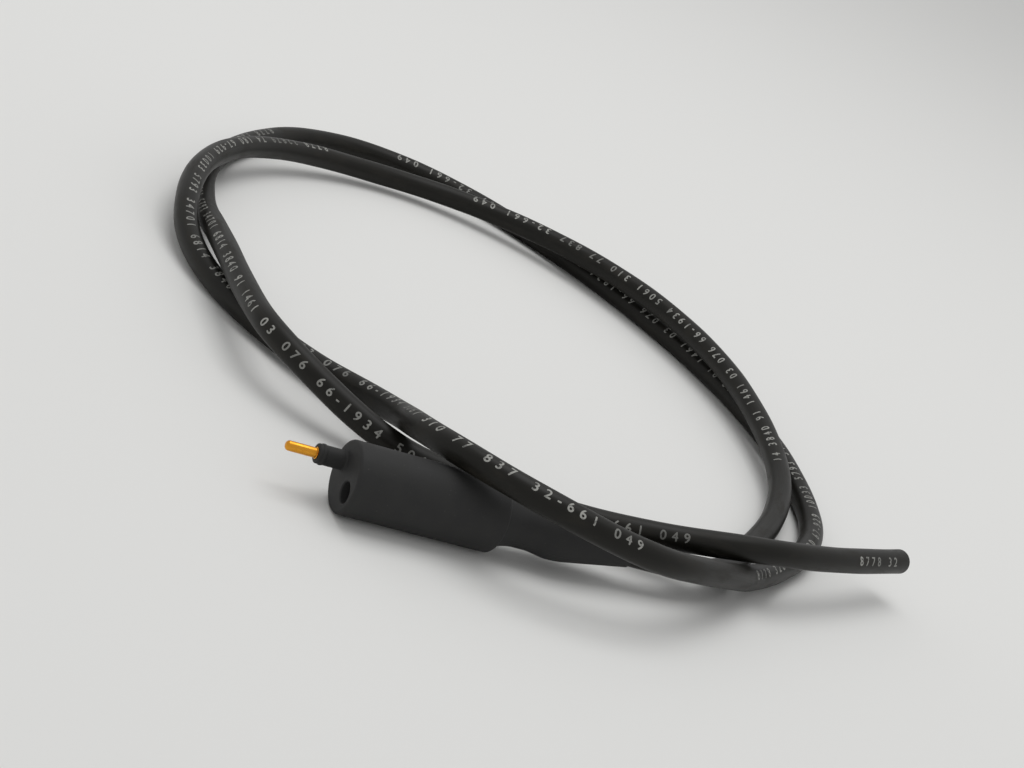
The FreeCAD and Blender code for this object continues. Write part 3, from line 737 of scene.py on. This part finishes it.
# %% Socket and its spring
def grainy(name, base, other, roughness, cell_mm, bump_mm, **sockets):
    """A material of two close tones in soft cells of a given size, with a bump of the same cells."""
    material, tree, shader = new_material(name, base, roughness, **sockets)
    place = add_node(tree, "ShaderNodeTexCoord").outputs["Object"]
    cells = add_node(tree, "ShaderNodeTexNoise", {
        "Vector": place, "Scale": 1.0 / (cell_mm * MM), "Detail": 3.0})
    tone = add_node(tree, "ShaderNodeMix", {0: cells, 6: linear(base), 7: linear(other)}, data_type="RGBA")
    dull = add_node(tree, "ShaderNodeMapRange", {
        "Value": cells, "From Min": 0.3, "From Max": 0.7,
        "To Min": roughness * 0.85, "To Max": roughness * 1.15})
    set_finish(tree, shader, tone, dull, cells, 0.4, bump_mm)
    return material


WELD_DISTANCE = 0.002 * MM


def smoothed_copy(node, name, material):
    """Makes a welded, smooth-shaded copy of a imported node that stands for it."""
    bm = bmesh.new()
    bm.from_mesh(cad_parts[node].data)
    bmesh.ops.remove_doubles(bm, verts=bm.verts, dist=WELD_DISTANCE)
    stand_for(finished_piece(bm, name, material, 30.0), node)


spring_steel = grainy("pickled spring steel", "#8f9294", "#7d8083", 0.34, 0.12, 0.004, Metallic=1.0)
smoothed_copy("socket_contact", "socket_turning", gold)
smoothed_copy("socket_spring", "socket_spring_ring", spring_steel)

# %% [markdown]
# Inside the moulding lie the pieces that nobody sees once it is made: the carrier disc, the
# solder joints under their shrink sleeves and the fanned conductors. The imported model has
# their shapes, and each only needs the finish of its real material. Glass-filled nylon is
# dull with pale fibre flecks, solder is bright grey with a frosty skin, shrink tube is
# slightly shiny black plastic, and the core's rubber insulation is plain matte colour.

# %% Finishes of the pieces inside
nylon = grainy("glass-filled nylon", "#2b2c2e", "#4a4b4c", 0.55, 0.25, 0.01)
solder = grainy("tin-silver solder", "#b9bbbd", "#9a9c9f", 0.3, 0.3, 0.02, Metallic=1.0)
shrink_tube = grainy("polyolefin shrink tube", "#151517", "#1c1c1e", 0.38, 0.8, 0.02)
copper = grainy("bare copper wire", "#c4703f", "#a85a30", 0.32, 0.1, 0.004, Metallic=1.0)
black_insulation = grainy("black rubber insulation", "#131313", "#1b1b1b", 0.55, 0.3, 0.01)
white_insulation = grainy("white rubber insulation", "#dcdad2", "#c9c6bc", 0.55, 0.3, 0.01)
wrap_paper = grainy("separator paper", "#cdbb97", "#b7a27b", 0.85, 0.12, 0.015)
cotton = grainy("cotton filler yarn", "#d9d0bc", "#bfb49b", 0.9, 0.08, 0.02)
FINISHES = {
    "contact_carrier": nylon,
    "pin_solder_joint": solder, "socket_solder_joint": solder,
    "pin_shrink_sleeve": shrink_tube, "socket_shrink_sleeve": shrink_tube,
    "pin_conductor": copper, "socket_conductor": copper,
    "pin_conductor_insulation": black_insulation, "socket_conductor_insulation": white_insulation,
    "jacket_end": grainy("bonded jacket rubber", "#131312", "#1c1c1b", 0.5, 0.4, 0.01),
    "jacket_end_paper_wrap": wrap_paper, "jacket_end_fillers": cotton,
}
for node, material in FINISHES.items():
    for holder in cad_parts[node].material_slots:
        holder.material = material
print("finished nodes:", len(FINISHES))

# %% [markdown]
# The cut end shows how the cord is built: two rubber-covered conductors of nineteen fine
# copper wires each, two cotton fillers that keep the core round, and a paper wrap between
# the core and the jacket. The wires and the yarns are the same thing at two scales, a
# twisted bundle of one, six and twelve threads, so one tree makes both.

# %% Twisted bundles in the cut end
CONDUCTOR_OFFSET = 1.08
FILLER_OFFSET = 1.44
THREAD_RINGS = ((1, 0.0), (6, 1.0), (12, 1.93))
HELIX_STEPS = 24
WIRE_SIZES = {
    "Rail": cord_rail,
    "Start": cord_length,
    "Thread radius": 0.12 * MM,
    "Thread sides": 10,
    "Pitch": 0.252 * MM,
    "Lay": 16.0 * MM,
    "Length": (CORE_DEPTH + 0.25) * MM,
    "Proud": 0.25 * MM,
    "Left": CONDUCTOR_OFFSET * MM,
    "Up": 0.0,
}


def bundle_tree(name, material):
    """A bundle of twisted threads along X, laid into the cord's end."""
    tree, size = start_tree(name, WIRE_SIZES)
    turns = add_node(tree, "ShaderNodeMath", {0: size["Length"], 1: size["Lay"]}, operation="DIVIDE")
    round_thread = add_node(tree, "GeometryNodeCurvePrimitiveCircle", {
        "Resolution": size["Thread sides"], "Radius": size["Thread radius"]})
    bundle = add_node(tree, "GeometryNodeJoinGeometry")
    for count, share in THREAD_RINGS:
        reach = add_node(tree, "ShaderNodeMath", {0: size["Pitch"], 1: share}, operation="MULTIPLY")
        helix = add_node(tree, "GeometryNodeCurveSpiral", {
            "Resolution": HELIX_STEPS, "Rotations": turns, "Start Radius": reach, "End Radius": reach,
            "Height": size["Length"]})
        spots = add_node(tree, "GeometryNodePoints", {"Count": count})
        step = add_node(tree, "ShaderNodeMath", {
            0: add_node(tree, "GeometryNodeInputIndex"), 1: math.tau / count}, operation="MULTIPLY")
        turned = add_node(tree, "ShaderNodeCombineXYZ", {"Z": step})
        threads = add_node(tree, "GeometryNodeInstanceOnPoints", {
            "Points": spots, "Instance": helix, "Rotation": turned})
        real = add_node(tree, "GeometryNodeRealizeInstances", {"Geometry": threads})
        skin = add_node(tree, "GeometryNodeCurveToMesh", {
            "Curve": real, "Profile Curve": round_thread, "Fill Caps": True})
        tree.links.new(skin.outputs[0], bundle.inputs[0])
    back = add_node(tree, "ShaderNodeMath", {0: size["Proud"], 1: size["Length"]}, operation="SUBTRACT")
    shift = add_node(tree, "ShaderNodeCombineXYZ", {"X": back, "Y": size["Left"], "Z": size["Up"]})
    straight = add_node(tree, "GeometryNodeTransform", {
        "Geometry": bundle, "Translation": shift, "Rotation": (0, math.pi / 2, 0)})
    end_tree(tree, lay_on_cord(tree, straight, rail_curve(tree, size), size["Start"]), material)
    return tree


YARN_SIZES = {
    **WIRE_SIZES,
    "Thread radius": 0.135 * MM,
    "Pitch": 0.26 * MM,
    "Lay": 9.0 * MM,
    "Length": (CORE_DEPTH - 0.1) * MM,
    "Proud": -0.1 * MM,
    "Left": 0.0,
    "Up": FILLER_OFFSET * MM,
}
RIGHT = {**WIRE_SIZES, "Left": -CONDUCTOR_OFFSET * MM}
LOWER = {**YARN_SIZES, "Up": -FILLER_OFFSET * MM}
wire_tree = bundle_tree("copper wires", copper)
yarn_tree = bundle_tree("cotton yarn", cotton)
for name, tree, sizes, node, slot_name in (
        ("cut_wires_black", wire_tree, WIRE_SIZES, "cut_end_black_strands", "copper"),
        ("cut_wires_white", wire_tree, RIGHT, "cut_end_white_strands", "copper"),
        ("cut_yarn_upper", yarn_tree, YARN_SIZES, "cut_end_fillers", "cotton_filler"),
        ("cut_yarn_lower", yarn_tree, LOWER, "cut_end_fillers", "cotton_filler")):
    bundle = run_tree(name, tree, sizes)
    shade(bundle)
    stand_for(bundle, node)


# %% [markdown]
# The insulation of each conductor is a plain rubber tube, and the paper wrap is a strip
# rolled a little more than once round the core, with an edge that the cutters left uneven.
# Both are made straight and then laid into the cord's end like the bundles.

# %% Insulation and paper wrap
def onto_cord_tree(material):
    """Lays a straight mesh onto the cord."""
    tree, size = start_tree("onto the cord", {"Rail": cord_rail, "Start": cord_length})
    laid = lay_on_cord(tree, size["Geometry"], rail_curve(tree, size), size["Start"])
    end_tree(tree, laid, material)
    return tree


def laid_piece(bm, name, material, node):
    """Turns a straight closed bmesh at the cut into a piece that lies in the cord's end."""
    bmesh.ops.recalc_face_normals(bm, faces=bm.faces)
    mesh = bpy.data.meshes.new(name + "_straight")
    bm.to_mesh(mesh)
    bm.free()
    piece = run_tree(name, onto_cord_tree(material), {"Rail": cord_rail, "Start": cord_length}, mesh)
    shade(piece)
    stand_for(piece, node)


INSULATION_R = 1.03
INSULATION_BORE_R = 0.64
CUT_ROUND = 0.04
BORE_ROUND = 0.03
CORE_STEPS = 14
for colour, level, material in (("black", 1, black_insulation), ("white", -1, white_insulation)):
    outward = [(-CORE_DEPTH * (1 - k / CORE_STEPS), INSULATION_R) for k in range(CORE_STEPS)]
    backward = [(-CORE_DEPTH * k / CORE_STEPS, INSULATION_BORE_R) for k in range(1, CORE_STEPS + 1)]
    lip = [(-CUT_ROUND, INSULATION_R), (0.0, INSULATION_R - CUT_ROUND), (0.0, INSULATION_BORE_R + BORE_ROUND)]
    bm = bmesh.new()
    turn(bm, outward + lip + backward, round_angles(36), (level * CONDUCTOR_OFFSET, 0.0), loop=True)
    finish_slot = colour + "_insulation"
    laid_piece(bm, "cut_insulation_" + colour, material, "cut_end_" + finish_slot)

WRAP_INNER_R = 2.2
WRAP_RISE = 0.07
WRAP_TURNS = 1.12
WRAP_THICKNESS = 0.035
WRAP_STEPS = 72
WRAP_SETBACK = 0.05
RAGGED_BACK = -0.12
RAGGED_FRONT = 0.06
ragged = random.Random(5)
edge_wobble = [ragged.uniform(RAGGED_BACK, RAGGED_FRONT) for _ in range(WRAP_STEPS + 1)]
bm = bmesh.new()
columns = []
for i in range(WRAP_STEPS + 1):
    share = i / WRAP_STEPS
    angle = share * WRAP_TURNS * math.tau
    reach = WRAP_INNER_R + WRAP_RISE * share
    front = 0.5 * (edge_wobble[i] + edge_wobble[i - 1]) - WRAP_SETBACK
    columns.append([])
    for k in range(CORE_STEPS + 1):
        x = -CORE_DEPTH + (CORE_DEPTH + front) * k / CORE_STEPS
        spot = Vector((x, reach * math.cos(angle), reach * math.sin(angle)))
        columns[-1].append(bm.verts.new(spot * MM))
for first, second in zip(columns, columns[1:]):
    for k in range(CORE_STEPS):
        bm.faces.new((first[k], first[k + 1], second[k + 1], second[k]))
bmesh.ops.solidify(bm, geom=bm.faces, thickness=WRAP_THICKNESS * MM)
laid_piece(bm, "cut_paper_strip", wrap_paper, "cut_end_paper_wrap")

# %% [markdown]
# A cord of this kind carries a row of white ink marks. Here they are plain numbers and
# dashes with no meaning. The printing wheel repeats the same row after a blank stretch, and
# the cut falls where it may. Near the connector the jacket is handled most and the marks are
# rubbed off, so they start 112 mm along. The row is set as flat type, made bolder by moving
# its outlines apart, filled, given the thickness of a film of ink, rolled to the jacket's
# curve on the side that the line's attribute names, and laid on the cord. The outlines are
# resampled to short steps first, because a long flat triangle would cut through the round
# jacket.

# %% White ink marks
def white_ink():
    """Matte white ink, thin in spots of 1 mm and along stretches of 17 mm, where the rubber shows."""
    material, tree, shader = new_material("worn white marking ink", "#979793", 0.6)
    place = add_node(tree, "ShaderNodeTexCoord").outputs["Object"]
    rubbed = add_node(tree, "ShaderNodeTexNoise", {
        "Vector": place, "Scale": 0.9 / MM, "Detail": 5.0, "Roughness": 0.7})
    thin = add_node(tree, "ShaderNodeMapRange", {
        "Value": rubbed, "From Min": 0.5, "From Max": 0.66, "To Max": 0.85})
    long_wear = add_node(tree, "ShaderNodeTexNoise", {"Vector": place, "Scale": 0.06 / MM, "Detail": 1.0})
    faded = add_node(tree, "ShaderNodeMapRange", {
        "Value": long_wear, "From Min": 0.42, "From Max": 0.68, "To Max": 0.6})
    both = add_node(tree, "ShaderNodeMath", {0: thin, 1: faded}, operation="MAXIMUM")
    tone = add_node(tree, "ShaderNodeMix", {
        0: both, 6: linear("#9b9b96"), 7: linear("#2c2c2b")}, data_type="RGBA")
    tree.links.new(tone.outputs[2], shader.inputs["Base Color"])
    return material


ink = white_ink()
LETTER_SIZE = 3.2
LETTER_SPACING = 1.78
WORD_SPACING = 1.5
GLYPH_WIDTHS = {" ": 0.278, "-": 0.323}
DIGIT_WIDTH = 0.5
ROW_MARKS = 102
ROW_BLANKS = 20
FIRST_ROW_END = 272.5
INK_START = 112.0
INK_END_MARGIN = 3.0
GROUP_LENGTHS = (2, 3, 4, 4, 5, 6)
DASH_CHANCE = 0.4
chance = random.Random(11)


def mark_advance(mark):
    """How far the type moves on after a mark, in mm."""
    width = GLYPH_WIDTHS.get(mark, DIGIT_WIDTH) * (WORD_SPACING if mark == " " else 1.0)
    return LETTER_SIZE * (width + 0.5 * (LETTER_SPACING - 1.0))


def number_row(count):
    """Groups of plain digits with a dash here and there, count marks long."""
    row = ""
    while len(row) < count:
        group = "".join(chance.choice("0123456789") for _ in range(chance.choice(GROUP_LENGTHS)))
        if len(group) > 4 and chance.random() < DASH_CHANCE:
            group = group[:2] + "-" + group[2:]
        row += group + " "
    return row[:count].strip()


row = number_row(ROW_MARKS)
first_start = FIRST_ROW_END
text = ""
for mark in reversed(row):
    if first_start - mark_advance(mark) < INK_START:
        break
    first_start -= mark_advance(mark)
    text = mark + text
reached = FIRST_ROW_END
for mark in (" " * ROW_BLANKS + row) * 4:
    reached += mark_advance(mark)
    if reached > cord_length / MM - INK_END_MARGIN:
        break
    text += mark
print("a row in mm:", round(sum(map(mark_advance, row)), 1), "with its blank:",
      round(sum(map(mark_advance, row + " " * ROW_BLANKS)), 1))

INK_SIZES = {
    "Rail": cord_rail,
    "Text": text,
    "Letter size": LETTER_SIZE * MM,
    "Letter height": 2.3 * MM,
    "Letter spacing": LETTER_SPACING,
    "Word spacing": WORD_SPACING,
    "Boldness": 0.055 * MM,
    "Detail": 0.28 * MM,
    "Film": 0.015 * MM,
    "Clearance": 0.004 * MM,
    "Start": first_start * MM,
    "Radius": CORD_R * MM,
    "Lay": JACKET_SIZES["Lay"],
    "Ripple": JACKET_SIZES["Ripple"],
}


def ink_tree():
    """A row of filled type, as thick as ink, rolled round the jacket and laid on the cord."""
    tree, size = start_tree("ink marks", INK_SIZES)
    rail = rail_curve(tree, size)
    type_row = add_node(tree, "GeometryNodeStringToCurves", {
        "String": size["Text"], "Size": size["Letter size"], "Character Spacing": size["Letter spacing"],
        "Word Spacing": size["Word spacing"]})
    outlines = add_node(tree, "GeometryNodeRealizeInstances", {"Geometry": type_row})
    stepped = add_node(tree, "GeometryNodeResampleCurve", {
        "Curve": outlines, "Length": size["Detail"]}, mode="LENGTH")
    outward = add_node(tree, "ShaderNodeVectorMath", {
        0: add_node(tree, "GeometryNodeInputTangent"), 1: (0, 0, 1)}, operation="CROSS_PRODUCT")
    thicker = add_node(tree, "ShaderNodeVectorMath", {0: outward, 1: size["Boldness"]}, operation="MULTIPLY")
    bold = add_node(tree, "GeometryNodeSetPosition", {"Geometry": stepped, "Offset": thicker})
    flat = add_node(tree, "GeometryNodeFillCurve", {"Curve": bold}, mode="TRIANGLES")
    film = add_node(tree, "GeometryNodeExtrudeMesh", {
        "Mesh": flat, "Offset Scale": size["Film"], "Individual": False}, mode="FACES")
    under = add_node(tree, "GeometryNodeFlipFaces", {"Mesh": flat})
    both = add_node(tree, "GeometryNodeJoinGeometry", {"Geometry": film})
    tree.links.new(under.outputs[0], both.inputs[0])
    closed = add_node(tree, "GeometryNodeMergeByDistance", {"Geometry": both, "Distance": WELD_DISTANCE})
    place = add_node(tree, "ShaderNodeSeparateXYZ", {0: add_node(tree, "GeometryNodeInputPosition")})
    length = add_node(tree, "ShaderNodeMath", {0: place.outputs["X"], 1: size["Start"]}, operation="ADD")
    side_named = add_node(tree, "GeometryNodeInputNamedAttribute", {"Name": "facing"}, data_type="FLOAT")
    faced = add_node(tree, "GeometryNodeSampleCurve", {
        "Curves": rail, "Value": side_named, "Length": length}, mode="LENGTH", data_type="FLOAT")
    half = add_node(tree, "ShaderNodeMath", {0: size["Letter height"], 1: 0.5}, operation="MULTIPLY")
    above = add_node(tree, "ShaderNodeMath", {0: place.outputs["Y"], 1: half}, operation="SUBTRACT")
    rolled = add_node(tree, "ShaderNodeMath", {0: above, 1: size["Radius"]}, operation="DIVIDE")
    angle = add_node(tree, "ShaderNodeMath", {0: faced.outputs["Value"], 1: rolled}, operation="SUBTRACT")
    dip = spiral_dip(tree, angle, length, size)
    reach = size["Radius"]
    for more in (dip, size["Clearance"], place.outputs["Z"]):
        reach = add_node(tree, "ShaderNodeMath", {0: reach, 1: more}, operation="ADD")
    sideways = add_node(tree, "ShaderNodeMath", {0: angle}, operation="COSINE")
    upward = add_node(tree, "ShaderNodeMath", {0: angle}, operation="SINE")
    level = add_node(tree, "ShaderNodeMath", {0: reach, 1: sideways}, operation="MULTIPLY")
    height = add_node(tree, "ShaderNodeMath", {0: reach, 1: upward}, operation="MULTIPLY")
    spot = add_node(tree, "ShaderNodeCombineXYZ", {"X": place.outputs["X"], "Y": level, "Z": height})
    round_row = add_node(tree, "GeometryNodeSetPosition", {"Geometry": closed, "Position": spot})
    end_tree(tree, lay_on_cord(tree, round_row, rail, size["Start"]), ink)
    return tree


marks = run_tree("ink_marks", ink_tree(), INK_SIZES)
shade(marks)
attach(marks, "root")

# %% [markdown]
# The set is plain, so that the finishes speak for themselves: a wide pale floor, even white
# light from all round and one soft lamp above, a little behind the object and leaning over
# it. The lamp draws the long highlights on the jacket and the shadow that shows where the
# cord lies on the floor and where it rides over itself.

# %% Floor and lights
HALF_FLOOR = 12.0
FLOOR_CORNERS = ((-1, -1), (1, -1), (1, 1), (-1, 1))
WORLD_STRENGTH = 0.6
LAMP_SIZE = 0.8
LAMP_WATTS = 4.5
LAMP_PLACE = (0.1, 0.3, 1.1)
LAMP_LEAN = math.radians(-12)

floor_mesh = bpy.data.meshes.new("floor")
floor_mesh.from_pydata([(x * HALF_FLOOR, y * HALF_FLOOR, 0) for x, y in FLOOR_CORNERS], [], [(0, 1, 2, 3)])
floor = add_piece("floor", floor_mesh)
floor_material, _, _ = new_material("floor", "#e6e6e4", 0.8)
floor_mesh.materials.append(floor_material)

world = bpy.data.worlds.new("studio")
world.use_nodes = True
background = world.node_tree.nodes["Background"]
background.inputs["Color"].default_value = (1, 1, 1, 1)
background.inputs["Strength"].default_value = WORLD_STRENGTH
bpy.context.scene.world = world
bpy.context.scene.view_settings.view_transform = "Standard"
lamp_data = bpy.data.lights.new("soft box", "AREA")
lamp_data.size = LAMP_SIZE
lamp_data.energy = LAMP_WATTS
lamp = bpy.data.objects.new("soft box", lamp_data)
bpy.context.scene.collection.objects.link(lamp)
lamp.location = LAMP_PLACE
lamp.rotation_euler = (LAMP_LEAN, 0, 0)
print("lamp at", LAMP_PLACE, "with", LAMP_WATTS, "watts")

# %% [markdown]
# Last, the helper object that carries the cord's line is removed.

bpy.data.objects.remove(cord_rail)
